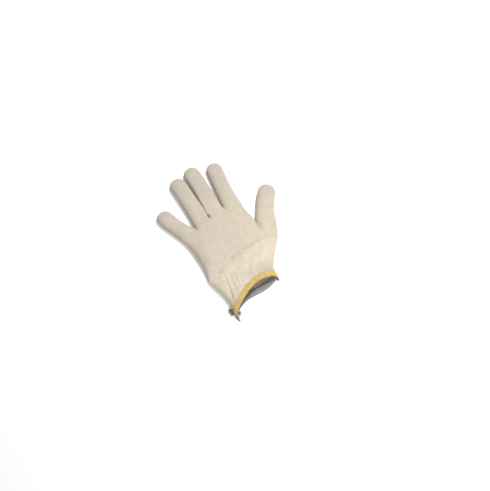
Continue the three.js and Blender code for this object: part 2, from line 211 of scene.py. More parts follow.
foldShape = [
    # place across and section, at both ends of the fold, then its depth and its spread, which
    # are shares of the palm's thickness and of the wrist's width
    (0.02, 3.98, 0.42, 3.97, 0.07, 0.018),  # wrist crease
    (0.38, 3.97, 0.74, 4.08, 0.1, 0.016),
    (0.1, 3.62, 0.52, 3.3, 0.03, 0.02),
    (0.22, 3.4, 0.7, 3.62, -0.08, 0.06),  # ridge above the cuff
    (0.1, 4.75, 0.42, 4.5, 0.03, 0.03),
    (0.2, 3.1, 0.12, 1.2, 0.06, 0.022),  # folds of the cuff's corner
    (0.27, 2.9, 0.2, 0.9, 0.03, 0.018),
    (0.34, 2.6, 0.29, 1.3, 0.02, 0.018),
    (0.775, 6.0, 0.79, 4.9, 0.08, 0.025),  # crease beside the thumb
]
knit = {
    "wall": 2.0,
    "course": 1.95,
    "perStitch": 4,  # points across a wale and along a course
    "relief": 0.5,  # how far the yarn stands above the gaps between stitches
    "fullWale": 2.6,  # wales narrower than this have less relief
    "mostRelief": 1.15,  # and wider ones at most this many times more
    "tipRelief": 0.5,  # share of the relief that each ring of a fingertip's end keeps
    "slant": 0.45,  # how far a leg of a stitch leans over its course
    "loops": 0.4,  # how clearly the stitches part along a wale
    "sink": (0.58, 0.25),  # how far the yarn sinks into the cloth, all over and more between wales
    "heads": 0.3,  # how far the stitches' heads curve on the lining side
    "rootBlend": 9,  # length over which a digit flows into the palm
    "blendReach": 2.5,  # how many of those lengths it is worked out for
    "blendRows": 20,  # a root nearer the end of the rows than this isn't blended
    "blendWindow": 3.0,  # length over which its points are averaged
    "blendPower": 6,  # how sharply the blending ends at the crotches
    "ripple": 0.35,  # loose unevenness of the cloth
    "rippleSpan": (139, 16),  # the glove's breadth and the length of a section, for the ripples
    # each slow wave across and along the glove, its start and its height
    "ripples": [(5.1, 9.3, 1.1, 1), (8.7, -6.2, 0.4, 1), (3.3, -14.5, 2.2, 0.8), (21, 4.4, 0, 0.7)],
    "coreDepth": 0.9,  # a cut edge of the knit runs straight in as far as this
    "insideRelief": 0.3,
    "insideStep": 8,  # the lining side is modelled at every eighth row
    "cuffInsideStep": 2,  # and at every second row where the mouth shows it
    "rowSamples": 161,  # rows from which the length of a stretch of knit is taken
}
tinyLength, tinyNormal, tinyRow = 1e-6, 1e-9, 1e-9

names = list(digitShape)
thumb = len(names) - 1
strips = range(len(names))
wristRow = len(cuffShape["sections"]) - 1
thumbRow = wristRow + sum(row[0] for row in palmShape["sections"]) + 1
fingerRow = wristRow + len(palmShape["sections"]) + 1


def heading(degrees, length):
    return np.array([math.sin(math.radians(degrees)), math.cos(math.radians(degrees))]) * length


def slope(degrees, length):
    return np.array([math.cos(math.radians(degrees)), math.sin(math.radians(degrees))]) * length


def between(a, b, share):
    return a + (b - a) * share


def unit(vectors):
    return vectors / np.linalg.norm(vectors, axis=-1, keepdims=True)


def running(steps):
    # distance walked at each point, from 0
    return np.concatenate([[0], np.cumsum(steps)])


def keepAbove(points, height):
    points[..., 2] = np.maximum(points[..., 2], height)
    return points


def onCurve(curve, amount):
    # a point of a curve from its start towards its bend and on to its end
    start, bend, end = curve
    return (1 - amount) ** 2 * start + 2 * amount * (1 - amount) * bend + amount ** 2 * end


def rootRow(index):
    return thumbRow if index == thumb else fingerRow


def lastRow(index):
    return rootRow(index) + len(tubeShape["sections"]) + tubeShape["tipSteps"] + 1


roots = np.array([digitShape[name][0] for name in names]) * handWidth
edgeShares = running(roots) / roots.sum()
fourWidth = roots[:thumb].sum()
fourShare = fourWidth / roots.sum()
waleCounts = [digitShape[name][6] for name in names]

mouthCentre = -heading(cuffShape["lean"], cuffShape["length"])
knuckleCentre = heading(palmShape["lean"], palmShape["length"])
wristHalf = slope(palmShape["wristSlant"], palmShape["wristWidth"] / 2)
mouthHalf = slope(cuffShape["mouthSlant"], cuffShape["mouthWidth"] / 2)
knuckleHalf = slope(palmShape["knuckleSlant"], fourWidth / 2)
thumbCrotch = knuckleCentre + knuckleHalf + heading(180 - palmShape["thumbDropLean"], palmShape["thumbDrop"])
thumbOuter = thumbCrotch + slope(palmShape["thumbRootSlant"], roots[thumb])


def section(left, right, bows, sways, top, thick, power):
    # a chord in plan with the heights over it
    mid = thick * tubeShape["midShare"]
    shape = {"left": left, "right": right, "bows": bows, "sways": sways, "power": power}
    return {**shape, "top": top, "mid": mid, "floor": 0, "pressed": np.zeros(2)}


def nipped(left, right, nips):
    width = palmShape["wristWidth"]
    return left + np.array([nips[0] * width, 0]), right - np.array([nips[1] * width, 0])


def cuffSection(up, nips, bows, sways, gape, thick, power):
    left = between(mouthCentre - mouthHalf, -wristHalf, up)
    right = between(mouthCentre + mouthHalf, wristHalf, up)
    high = thick * cuffShape["thick"]
    top = high + gape * (cuffShape["mouthHeight"] - cuffShape["thick"])
    return section(*nipped(left, right, nips), bows, sways, top, high, power)


def palmSection(whole, upLeft, upRight, nips, bow, thick, power):
    left = between(-wristHalf, knuckleCentre - knuckleHalf, upLeft)
    if whole:
        right = between(wristHalf, thumbOuter, upRight)
    else:
        right = between(thumbCrotch, knuckleCentre + knuckleHalf, upRight)
    high = thick * palmShape["thick"]
    return section(*nipped(left, right, nips), (bow, bow), (0, 0), high, high, power)


handSections = [cuffSection(*row) for row in cuffShape["sections"]]
handSections += [palmSection(*row) for row in palmShape["sections"]]


def knucklePoint(number):
    share = edgeShares[number] / fourShare
    rise = slope(palmShape["knuckleSlant"] + 90, palmShape["knuckleArch"] * 4 * share * (1 - share))
    return between(knuckleCentre - knuckleHalf, knuckleCentre + knuckleHalf, share) + rise


def rootEnds(index, inset):
    # inside the wall, the crotches between digits lie lower
    if index == thumb:
        left, right = thumbCrotch, thumbOuter
    else:
        left, right = knucklePoint(index), knucklePoint(index + 1)
    along = unit(right - left)
    lower = heading(180, inset)
    outerLeft, outerRight = index == 0, index >= thumb - 1
    return left + (along * inset if outerLeft else lower), right + (-along * inset if outerRight else lower)


def stripSections(index, inset):
    # all sections of one digit's strip, from the mouth to the fingertip
    length = digitShape[names[index]][1] * fingerLength
    thick = digitShape[names[index]][2] * fingerThick
    lean, bend, slim = digitShape[names[index]][3:6]
    rows = []
    for number, row in enumerate(handSections[:rootRow(index)]):
        rows.append({**row, "whole": number < thumbRow, "inset": inset, "ends": inset})
    left, right = rootEnds(index, inset)
    profile = ((0, 0), (0, 0), thick, thick, tubeShape["power"])
    pressed = np.array(tubeShape["pressed"].get(names[index], (0, 0)))
    rows.append({**section(left, right, *profile), "inset": inset, "ends": 0, "pressed": pressed})

    outerLeft, outerRight = rootEnds(index, 0)
    start = (outerLeft + outerRight) / 2
    rootHalf = (outerRight - outerLeft) / 2
    bendPoint = start + heading(lean, length / 2)
    end = bendPoint + heading(lean + bend, length / 2)
    slimWidth = roots[index] * slim
    tipStart = 1 - tubeShape["tipReach"] * slimWidth / length

    def addRow(share, slimming, widthShare, riseShare, press):
        centre = onCurve((start, bendPoint, end), share)
        tangent = unit((1 - share) * (bendPoint - start) + share * (end - bendPoint))
        square = np.array([tangent[1], -tangent[0]]) * between(roots[index], slimWidth, slimming) / 2
        half = between(rootHalf, square, min(slimming / tubeShape["sections"][0][1], 1))
        reach = max(np.linalg.norm(half) - tubeShape["fingerGap"] / 2 - inset, 0) * widthShare
        half = unit(half) * reach
        side = unit(half) * tubeShape["pressOut"] * press
        row = section(centre - half - side * pressed[0], centre + half + side * pressed[1], *profile)
        row["top"] = row["mid"] + (row["top"] - inset - row["mid"]) * riseShare
        row["floor"] = row["mid"] - (row["mid"] - inset) * riseShare
        rows.append({**row, "inset": 0, "ends": 0, "pressed": pressed * press})

    addRow(tubeShape["rootStep"] / length, 0, 1, 1, 1)
    for along, slimming, riseShare, press in tubeShape["sections"]:
        addRow(along * tipStart, slimming, 1, riseShare, press)
    for step in range(1, tubeShape["tipSteps"] + 1):
        turn = math.pi / 2 * tubeShape["tipCut"] * step / tubeShape["tipSteps"]
        share = tipStart + (1 - inset / length - tipStart) * math.sin(turn)
        narrow, low = math.cos(turn) ** tubeShape["tipRoundPlan"], math.cos(turn) ** tubeShape["tipRoundSide"]
        addRow(share, 1, narrow, low, 0)
    return rows


def spread(shares, halfWidth, rise, power):
    # where equal steps along a rounded section lie across it, from -1 to 1
    x = np.sin(math.pi / 2 * np.linspace(0, 1, tubeShape["samples"]))
    height = rise * np.sqrt(np.maximum(0, 1 - x ** power))
    walked = running(np.hypot(np.diff(x * halfWidth), np.diff(height)))
    found = np.interp(np.abs(2 * shares - 1) * walked[-1], walked, x)
    return np.where(shares < 0.5, -found, found)


def sectionPoints(row, shares, over):
    # a section's line of points on the upper or the under sheet
    along = unit(row["right"] - row["left"])
    left = row["left"] + along * row["ends"]
    right = row["right"] - along * row["ends"]
    rise = row["top"] - row["inset"] - row["mid"] if over else row["mid"] - row["floor"] - row["inset"]
    power = row["power"] if over else tubeShape["underPower"]
    x = spread(shares, np.linalg.norm(right - left) / 2, rise, power)
    if over:
        power = power + np.where(x < 0, *row["pressed"])
    crown = np.sqrt(np.maximum(0, 1 - np.abs(x) ** power))
    sheet = 0 if over else 1
    drawn = row["bows"][sheet] * (1 - x * x) + row["sways"][sheet] * np.sin(math.pi * x)
    up = np.array([-along[1], along[0]]) * palmShape["wristWidth"]
    plan = left + (right - left) * (x[:, None] + 1) / 2 + up * drawn[:, None]
    if over:
        height = row["mid"] + rise * crown
    else:
        height = row["mid"] - rise * np.minimum(1, crown * tubeShape["underFlat"])
    return np.column_stack([plan, height])


def smoothLine(points, rowNumbers):
    # centripetal spline along the first axis of points, read at fractional row numbers
    points = np.concatenate([[2 * points[0] - points[1]], points, [2 * points[-1] - points[-2]]])
    last = len(points) - 4
    first = np.minimum(np.floor(rowNumbers).astype(int), last)
    weight = (rowNumbers - first)[:, None, None]
    a, b, c, d = (points[first + k] for k in range(4))
    steps = [np.linalg.norm(q - p, axis=2, keepdims=True) for p, q in ((a, b), (b, c), (c, d))]
    ab, bc, cd = (np.maximum(step, tinyLength) ** 0.5 for step in steps)
    slopeB = ((b - a) / ab - (c - a) / (ab + bc) + (c - b) / bc) * bc
    slopeC = ((c - b) / bc - (d - b) / (bc + cd) + (d - c) / cd) * bc
    cubic = 2 * b - 2 * c + slopeB + slopeC
    square = -3 * b + 3 * c - 2 * slopeB - slopeC
    return b + slopeB * weight + square * weight ** 2 + cubic * weight ** 3


def foldDepth(g, rows):
    # depth of the folds at places across (g) and along (rows) the glove
    width, step = palmShape["wristWidth"], cuffShape["length"] / wristRow
    place = np.stack(np.meshgrid(rows * step, g * width, indexing="ij"), axis=2)
    depth = np.zeros(place.shape[:2])
    for g0, row0, g1, row1, deep, spreadShare in foldShape:
        start = np.array([row0 * step, g0 * width])
        run = np.array([row1 * step, g1 * width]) - start
        share = np.clip((place - start) @ run / (run @ run), 0, 1)
        off = np.linalg.norm(place - start - share[..., None] * run, axis=2) / (spreadShare * width)
        depth += deep * palmShape["thick"] * np.exp(-off * off)
    return depth


def gatherRise(g, rows):
    # height of the gathers: held down by the hem, gone at the wrist and faint on the thumb side
    fade = np.clip((wristRow - rows) / cuffShape["gatherFade"], 0, 1)
    fade = fade * np.clip(cuffShape["gatherHeld"] + rows, 0, 1)
    start, end = cuffShape["gatherSmooth"]
    side = 1 - (1 - cuffShape["gatherFaint"]) * np.clip((g - start) / (end - start), 0, 1)
    turn = 2 * math.pi * g
    wander = cuffShape["gatherWander"] * np.sin(cuffShape["wanderWaves"] * turn + cuffShape["wanderStart"])
    phase = (cuffShape["gathers"] * turn + wander)[None, :] + cuffShape["gatherLean"] * rows[:, None]
    return cuffShape["gatherDepth"] * fade[:, None] * side[None, :] * np.cos(phase)


def ripples(g, rows):
    # slow unevenness of loose cloth
    across, along = g[None, :] * knit["rippleSpan"][0], rows[:, None] * knit["rippleSpan"][1]
    waves = 0
    for wide, long, start, high in knit["ripples"]:
        waves = waves + high * np.sin(across / wide + along / long + start)
    return knit["ripple"] * waves / 2


def rootFlow(sheet, rowNumbers, root, shares):
    # evens out the step in slope where a digit leaves the palm, away from the crotches
    at = int(np.argmin(np.abs(rowNumbers - root)))
    if not knit["blendRows"] < at < len(rowNumbers) - knit["blendRows"] or rowNumbers[at] != root:
        return sheet
    walked = running(np.linalg.norm(np.diff(sheet, axis=0), axis=2).mean(axis=1))
    off = (walked - walked[at]) / knit["rootBlend"]
    spots = np.flatnonzero(np.abs(off) < knit["blendReach"])
    weights = np.exp(-((walked[spots, None] - walked[None, :]) / knit["blendWindow"]) ** 2)
    evened = np.einsum("ij,jkl->ikl", weights / weights.sum(axis=1, keepdims=True), sheet)
    inward = 1 - np.abs(2 * shares[None, :] - 1) ** knit["blendPower"]
    amount = np.exp(-off[spots, None] ** 2) * inward
    flowed = sheet.copy()
    flowed[spots] += amount[:, :, None] * (evened - sheet[spots])
    return flowed


def stripGrid(index, rowNumbers, inset):
    # points of one strip on both sheets, with its rows first
    rows = stripSections(index, inset)
    columns = waleCounts[index] * knit["perStitch"]
    shares = np.linspace(0, 1, columns + 1)
    g = between(edgeShares[index], edgeShares[index + 1], shares)
    grid = []
    for over in (True, False):
        lines = []
        for number, row in enumerate(rows):
            if number >= rootRow(index):
                across = shares
            else:
                across = g if row["whole"] else g / fourShare
            lines.append(sectionPoints(row, across, over))
        sheet = rootFlow(smoothLine(np.array(lines), rowNumbers), rowNumbers, rootRow(index), shares)
        if over:
            lift = np.clip(sheet[:, :, 2] / cuffShape["thick"], 0, 1)
            rise = gatherRise(g, rowNumbers) - foldDepth(g, rowNumbers) + ripples(g, rowNumbers)
            sheet[:, :, 2] += lift * rise
        grid.append(keepAbove(sheet, inset))
    return grid


def joinEdges(grids):
    # neighbouring strips share their edge up to the crotch, and beyond it each closes on itself
    for index, (over, under) in enumerate(grids):
        rows = rowSets[index]
        split = 0 if index == 0 else int((rows <= rootRow(index)).sum())
        if split:
            for sheet in (0, 1):
                beside, own = grids[index - 1][sheet][:split, -1], grids[index][sheet][:split, 0]
                beside[:] = own[:] = (beside + own) / 2
            crotch = (over[split - 1, 0] + under[split - 1, 0]) / 2
            for sheet in (0, 1):
                grids[index - 1][sheet][split - 1, -1] = grids[index][sheet][split - 1, 0] = crotch
        over[split:, 0] = under[split:, 0] = (over[split:, 0] + under[split:, 0]) / 2
        shared = 0 if index == thumb else int((rows <= rootRow(index + 1)).sum())
        over[shared:, -1] = under[shared:, -1] = (over[shared:, -1] + under[shared:, -1]) / 2


def courseRows(first, last, chosen):
    # row numbers at even steps of the knit between two rows, by the mean length of some strips
    dense = np.linspace(first, last, knit["rowSamples"])
    edge = knit["perStitch"]
    lengths = []
    for index in chosen:
        over = stripGrid(index, dense, 0)[0]
        lengths.append(np.linalg.norm(np.diff(over[:, edge:-edge], axis=0), axis=2).mean(axis=1))
    walked = running(np.mean(lengths, axis=0))
    courses = max(round(walked[-1] / knit["course"]), 1)
    steps = courses * knit["perStitch"]
    return np.interp(np.linspace(0, walked[-1], steps + 1), walked, dense), courses


mouthStep = np.linalg.norm(-wristHalf - mouthCentre + mouthHalf) * cuffShape["sections"][1][0]
hemTop = cuffShape["hemHeight"] / mouthStep
cuffRows, cuffCourses = courseRows(hemTop, wristRow, strips)
heelRows, heelCourses = courseRows(wristRow, thumbRow, strips)
knuckleRows, knuckleCourses = courseRows(thumbRow, fingerRow, range(thumb))
hemRows = np.linspace(0, hemTop, cuffShape["hemRows"])
hemCourses = np.linspace(-cuffShape["hemCourses"], 0, len(hemRows))
rowSets, courseSets = [], []
for index in strips:
    tubeRows, _ = courseRows(rootRow(index), lastRow(index), [index])
    parts = [hemRows, cuffRows[1:], heelRows[1:]]
    if index != thumb:
        parts.append(knuckleRows[1:])
    rowSets.append(np.concatenate([*parts, tubeRows[1:]]))
    stitched = len(rowSets[-1]) - len(hemRows)
    courseSets.append(np.concatenate([hemCourses, np.arange(1, stitched + 1) / knit["perStitch"]]))
print("Rows are spaced for", cuffCourses + heelCourses + knuckleCourses, "courses up to the fingers")


# Knitted skins

def gridQuads(indices, flip):
    # indices has rows first; columns run to the thumb side
    a, b, c, d = indices[:-1, :-1], indices[:-1, 1:], indices[1:, 1:], indices[1:, :-1]
    quads = np.stack([b, a, d, c] if flip else [a, b, c, d], axis=-1)
    return quads.reshape(-1, 4)


def vertexNormals(points, quads):
    # mean normals of the points, by the area of the quads round them
    p = points[quads]
    facing = np.cross(p[:, 2] - p[:, 0], p[:, 3] - p[:, 1])
    normals = np.zeros_like(points)
    for corner in range(4):
        for axis in range(3):
            normals[:, axis] += np.bincount(quads[:, corner], facing[:, axis], len(points))
    return normals / np.maximum(np.linalg.norm(normals, axis=1, keepdims=True), tinyNormal)


def tipCap(ring):
    # rings that close a fingertip, each nearer its middle
    middle = ring.mean(axis=0)
    steps = tubeShape["tipRings"]
    return [between(ring, middle, step / steps) for step in range(1, steps)], middle


def knitSkin(inset, reliefOf):
    # the whole skin with its edges welded: points, index grids, stitch places and the caps' quads
    grids = [stripGrid(index, rowSets[index], inset) for index in strips]
    joinEdges(grids)
    allPoints, allRelief, allPlaces, shapes = [], [], [], []
    waleStart = running(waleCounts)
    for index, sheets in enumerate(grids):
        wales = waleStart[index] + np.arange(sheets[0].shape[1]) / knit["perStitch"]
        for sheet in sheets:
            width = np.linalg.norm(np.gradient(sheet, axis=1), axis=2) * knit["perStitch"]
            strength = np.clip(width / knit["fullWale"], 0, knit["mostRelief"])
            course, wale = np.meshgrid(courseSets[index], wales, indexing="ij")
            allPoints.append(sheet.reshape(-1, 3))
            allRelief.append((reliefOf(wale, course) * strength).ravel())
            allPlaces.append(np.stack([wale, course, np.full_like(wale, inset > 0)], axis=2).reshape(-1, 3))
            shapes.append(sheet.shape[:2])
    starts = running([len(points) for points in allPoints]).astype(int)
    points = np.concatenate(allPoints)
    _, chosen, weld = np.unique(np.round(points, 4), axis=0, return_index=True, return_inverse=True)
    weld = weld.ravel()
    grid = [weld[starts[k]:starts[k + 1]].reshape(shapes[k]) for k in range(len(shapes))]
    points, relief = points[chosen], np.concatenate(allRelief)[chosen]
    places = np.concatenate(allPlaces)[chosen]
    caps = []
    for index in strips:
        over, under = grid[2 * index][-1], grid[2 * index + 1][-1]
        ring = np.concatenate([over, under[-2:0:-1]])
        rings, middle = tipCap(points[ring])
        quads = []
        for smaller in rings:
            fresh = len(points) + np.arange(len(ring))
            points = np.concatenate([points, smaller])
            quads.append(np.stack([ring, np.roll(ring, -1), np.roll(fresh, -1), fresh], axis=1))
            relief = np.concatenate([relief, relief[ring] * knit["tipRelief"]])
            places = np.concatenate([places, places[ring]])
            ring = fresh
        points = np.concatenate([points, middle[None]])
        relief = np.concatenate([relief, [0]])
        places = np.concatenate([places, places[ring[:1]]])
        last = len(points) - 1
        pairs = ring.reshape(-1, 2)
        fan = [pairs[:, 0], pairs[:, 1], np.roll(pairs[:, 0], -1), np.full(len(pairs), last)]
        quads.append(np.stack(fan, axis=1))
        caps.append(np.concatenate(quads))
    faces = [gridQuads(grid[k], k % 2 == 1) for k in range(len(grid))] + caps
    quads = np.concatenate(faces)
    normals = vertexNormals(points, quads)
    core = points - normals * knit["coreDepth"]
    points = points + normals * relief[:, None]
    skin = {"points": points, "core": core, "places": places, "grid": grid, "caps": caps}
    return {**skin, "normals": normals, "shading": vertexNormals(points, quads)}


def stitchRelief(wale, course):
    # two legs of yarn lean out from the middle of each wale, one pair to a course
    side = np.abs(wale % 1 - 0.5) * 2
    leg = np.sin(math.pi * side)
    loop = np.cos(2 * math.pi * (course - knit["slant"] * side))
    sink, sideSink = knit["sink"]
    return knit["relief"] * (leg * (1 - knit["loops"] * (0.5 - 0.5 * loop)) - sink - sideSink * side)


def purlRelief(wale, course):
    # the back of the knit shows the curved heads of the stitches as ridges along the courses
    side = np.abs(wale % 1 - 0.5) * 2
    curve = 1 - knit["heads"] + knit["heads"] * np.cos(math.pi * side)
    return knit["insideRelief"] * np.cos(2 * math.pi * course) * curve


outer = knitSkin(0, stitchRelief)
inner = knitSkin(knit["wall"], purlRelief)
keepAbove(outer["points"], 0)
keepAbove(outer["core"], 0)

# the palm's own middle goes to the middle of its place in the frame
palmSpots = []
for index, rows in enumerate(rowSets):
    palmSpots.append(outer["grid"][2 * index][(rows >= wristRow) & (rows <= rootRow(index))].ravel())
palmPoints = outer["points"][np.concatenate(palmSpots)]
low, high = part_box("palm")
palmMiddle = (palmPoints.min(axis=0) + palmPoints.max(axis=0))[:2] / 2
shift = np.array((low + high) / 2 / mm)[:2] - palmMiddle
print("The glove's plan is moved by", shift.round(2), "mm to sit on the frame")


def meshObject(name, points, faces, places=None, shading=None):
    # only the points that the faces use go into the mesh
    flat = np.concatenate([np.asarray(face).ravel() for face in faces])
    used, renumbered = np.unique(flat, return_inverse=True)
    sizes = np.concatenate([np.full(len(face), face.shape[1]) for face in faces])
    starts = running(sizes)[:-1]
    mesh = bpy.data.meshes.new(name)
    mesh.vertices.add(len(used))
    placed = (points[used] + np.array([*shift, 0])) * mm
    mesh.vertices.foreach_set("co", placed.astype(np.float32).ravel())
    mesh.loops.add(len(flat))
    mesh.loops.foreach_set("vertex_index", renumbered.ravel().astype(np.int32))
    mesh.polygons.add(len(sizes))
    mesh.polygons.foreach_set("loop_start", starts.astype(np.int32))
    mesh.update(calc_edges=True)
    mesh.polygons.foreach_set("use_smooth", np.ones(len(sizes), bool))
    if places is not None:
        layer = mesh.attributes.new("stitchPlace", "FLOAT_VECTOR", "POINT")
        layer.data.foreach_set("vector", places[used].astype(np.float32).ravel())
    mesh.validate()
    if shading is not None:
        # pieces that meet share their normals, so that no seam shows
        mesh.normals_split_custom_set_from_vertices(shading[used])
    return addObject(name, mesh)


allPoints = np.concatenate([outer["points"], inner["points"], outer["core"]])
allPlaces = np.concatenate([outer["places"], inner["places"], outer["places"]])
allShading = np.concatenate([outer["shading"], -inner["shading"], outer["shading"]])
innerStart = len(outer["points"])
coreStart = innerStart + len(inner["points"])


def rimQuads(outside, inside, flip):
    # a cut edge: straight in to the core and on to the inside of the wall
    return gridQuads(np.stack([outside, outside + coreStart, inside]), flip)


def knitPiece(name, covered, firstRow, lastRowOf, insideStep, capped, shading):
    # outer sheets, the inside of the wall and the rims between them, on the strips it covers
    faces = []
    for index in covered:
        rows = rowSets[index]
        chosen = np.flatnonzero((rows >= firstRow - tinyRow) & (rows <= lastRowOf(index) + tinyRow))
        sparse = np.unique(np.concatenate([chosen[::insideStep], chosen[-1:]]))
        for sheet in (0, 1):
            outside = outer["grid"][2 * index + sheet]
            inside = inner["grid"][2 * index + sheet] + innerStart
            faces.append(gridQuads(outside[chosen], sheet == 1))
            faces.append(gridQuads(inside[sparse], sheet == 0))
            ends = [(chosen[0], True)] + ([] if capped else [(chosen[-1], False)])
            for row, isFirst in ends:
                faces.append(rimQuads(outside[row], inside[row], isFirst == (sheet == 0)))
        if capped:
            faces.append(outer["caps"][index])
            faces.append((inner["caps"][index] + innerStart)[:, ::-1])
    return meshObject(name, allPoints, faces, allPlaces, shading)


insideStep = knit["insideStep"]
cottonPieces = {"palm": knitPiece("PalmKnit", strips, wristRow, rootRow, insideStep, False, allShading)}
for index, name in enumerate(names):
    title = "".join(word.capitalize() for word in name.split("_")) + "Knit"
    cottonPieces[name] = knitPiece(title, [index], rootRow(index), lastRow, insideStep, True, allShading)
cuffStep = knit["cuffInsideStep"]
cuffPiece = knitPiece("CuffKnit", strips, hemTop, lambda _: wristRow, cuffStep, False, allShading)
knitFaces = sum(len(piece.data.polygons) for piece in [*cottonPieces.values(), cuffPiece])
print("The knit is made:", knitFaces, "faces")


# Hem of overlock thread round the mouth

hemSetup = {
    "thread": 1.15,  # width of a laid thread
    "pitch": 1.05,  # from one laid thread to the next
    "proud": 0.35,  # how far the threads' middle stands off the knit
    "overEdge": 0.7,  # how far the loops reach past the mouth
    "lean": 1.3,  # how far a thread leans along the mouth
    "reach": 0.96,  # share of the hem's height that the turns reach
    "wobbles": [(0.12, 1.7), (0.1, 0.37)],  # uneven spacing: height and waves for each turn
    "startTurns": (0.0, 1.9),  # where the wobbles of the outer and the inner thread start
    "legSteps": 7,
    "edgeShare": 0.14,  # share of the hem's height in which a loop bends round the edge
    "edgeBend": 1.5,
    "edgeFrom": 0.25,  # share of the hem's height from which the way out over the edge is taken
    "cornerFade": 5,
    "innerShare": 0.42,  # radius of the inner thread as a share of the laid thread's width
    "chain": 0.85,  # width of the threads that lock the rim
    "chainRise": 0.3,
    "chainSteps": 3,
    "aboveTable": 0.02,
    "sides": 8,
}
needleSetup = {"stitch": 2.3, "steps": 6, "up": 0.93, "rise": 0.35, "dip": 0.75, "radius": 0.34,
               "clear": 0.4, "sides": 6}


def ringLines(skin, sign):
    # points and normals round the mouth for each hem row: over to the thumb side, back under
    lines = []
    for row in range(len(hemRows)):
        over = [skin["grid"][2 * index][row, :-1] for index in strips]
        under = np.concatenate([skin["grid"][2 * index + 1][row, :-1] for index in strips])
        ring = np.concatenate([*over, skin["grid"][2 * thumb][row, -1:], under[:0:-1]])
        lines.append(np.concatenate([skin["points"][ring], sign * skin["normals"][ring]], axis=1))
    return np.array(lines)


tubeStart = (0.3, 0.2, 0.9)  # a direction that no thread starts in


def tube(path, radius, sides):
    # a tube of quads along a path of points, with flat ends
    path = np.asarray(path, float)
    ahead = unit(np.gradient(path, axis=0))
    side = np.cross(ahead[0], tubeStart)
    points = []
    radius = np.broadcast_to(radius, len(path))
    for place, forward, wide in zip(path, ahead, radius):
        side = unit(side - forward * (side @ forward))
        other = np.cross(forward, side)
        turns = np.arange(sides) * 2 * math.pi / sides
        points.append(place + wide * (np.cos(turns)[:, None] * side + np.sin(turns)[:, None] * other))
    points = np.concatenate(points)
    ring = np.arange(sides)
    quads = []
    for k in range(len(path) - 1):
        a = k * sides + ring
        b = k * sides + np.roll(ring, -1)
        quads.append(np.stack([a, b, b + sides, a + sides], axis=1))
    ends = np.array([ring[::-1], (len(path) - 1) * sides + ring])
    return points, np.concatenate(quads), ends


outsideRing, insideRing = ringLines(outer, 1), ringLines(inner, -1)
mouthLoop = outsideRing[0, :, :3]
gaps = np.linalg.norm(np.roll(mouthLoop, -1, axis=0) - mouthLoop, axis=1)
walkedLoop = running(gaps)
loopLength = walkedLoop[-1]


def onRing(lines, distance, up):
    # a point and normal at a distance round the mouth and a share up the hem
    distance = distance % loopLength
    closed = np.concatenate([lines, lines[:, :1]], axis=1)
    rowPlace = np.broadcast_to(up, len(distance)) * (len(hemRows) - 1)
    lower = np.minimum(rowPlace.astype(int), len(hemRows) - 2)
    result = []
    for axis in range(6):
        table = np.array([np.interp(distance, walkedLoop, line) for line in closed[:, :, axis]])
        column = np.arange(len(distance))
        result.append(between(table[lower, column], table[lower + 1, column], rowPlace - lower))
    return np.stack(result[:3], axis=1), np.stack(result[3:], axis=1)


def overcast(startTurn):
    # a thread laid to and fro between the needle line and the edge, all the way round
    legs = int(loopLength / hemSetup["pitch"]) // 2 * 2
    steps = hemSetup["legSteps"]
    turn = np.arange(legs * steps + 1) / steps
    up = 0.5 + 0.5 * np.cos(math.pi * turn)
    up = 0.5 + (up - 0.5) * hemSetup["reach"]
    (fast, fastTurn), (slow, slowTurn) = hemSetup["wobbles"]
    wobble = fast * np.sin(turn * fastTurn + startTurn) + slow * np.sin(turn * slowTurn)
    return turn * loopLength / legs + hemSetup["lean"] * (1 - up) + wobble, up


def edgePoint(distance):
    # where a thread passes over the cut edge of the knit
    outside, _ = onRing(outsideRing, distance, 0)
    inside, _ = onRing(insideRing, distance, 0)
    higher, _ = onRing(outsideRing, distance, hemSetup["edgeFrom"])
    away = outside - higher
    away[:, 2] = 0
    return (outside + inside) / 2 + unit(away) * hemSetup["overEdge"]


farCorner = walkedLoop[sum(waleCounts) * knit["perStitch"]]


def overShare(distance):
    # 1 along the upper rim of the mouth and 0 along its lower rim
    distance = distance % loopLength
    onTop = np.minimum(distance, farCorner - distance)
    below = np.minimum(distance - farCorner, loopLength - distance)
    return np.clip(np.where(distance < farCorner, onTop, -below) / hemSetup["cornerFade"] + 0.5, 0, 1)


def threadTube(rings, startTurn, radius, wrapsOver):
    # the coloured thread bends round the upper rim and the pale one round the lower rim
    distance, up = overcast(startTurn)
    wraps = overShare(distance) if wrapsOver else 1 - overShare(distance)
    up = np.maximum(up, hemSetup["edgeShare"] * (1 - wraps))
    place, normal = onRing(rings, distance, up)
    edge = edgePoint(distance)
    bend = (wraps * np.clip(1 - up / hemSetup["edgeShare"], 0, 1))[:, None] ** hemSetup["edgeBend"]
    path = between(place + normal * hemSetup["proud"], edge, bend)
    return tube(keepAbove(path, radius + hemSetup["aboveTable"]), radius, hemSetup["sides"])


def edgeChain(start, end, radius):
    # two looped threads that run along the rim and lock the turns of the overcasting
    distance = np.linspace(start, end, int((end - start) / hemSetup["pitch"] * hemSetup["chainSteps"]))
    strands = []
    for phase in (0, math.pi):
        turn = math.pi * distance / hemSetup["pitch"] + phase
        path = edgePoint(distance)
        path[:, 2] += hemSetup["chainRise"] * np.cos(turn)
        strands.append(tube(keepAbove(path, radius + hemSetup["aboveTable"]), radius, hemSetup["sides"]))
    return strands


def joined(parts):
    # the points of all parts in one list, and their faces renumbered to it
    points, faces, count = [], [], 0
    for part in parts:
        points.append(part[0])
        faces += [face + count for face in part[1:]]
        count += len(part[0])
    return np.concatenate(points), faces


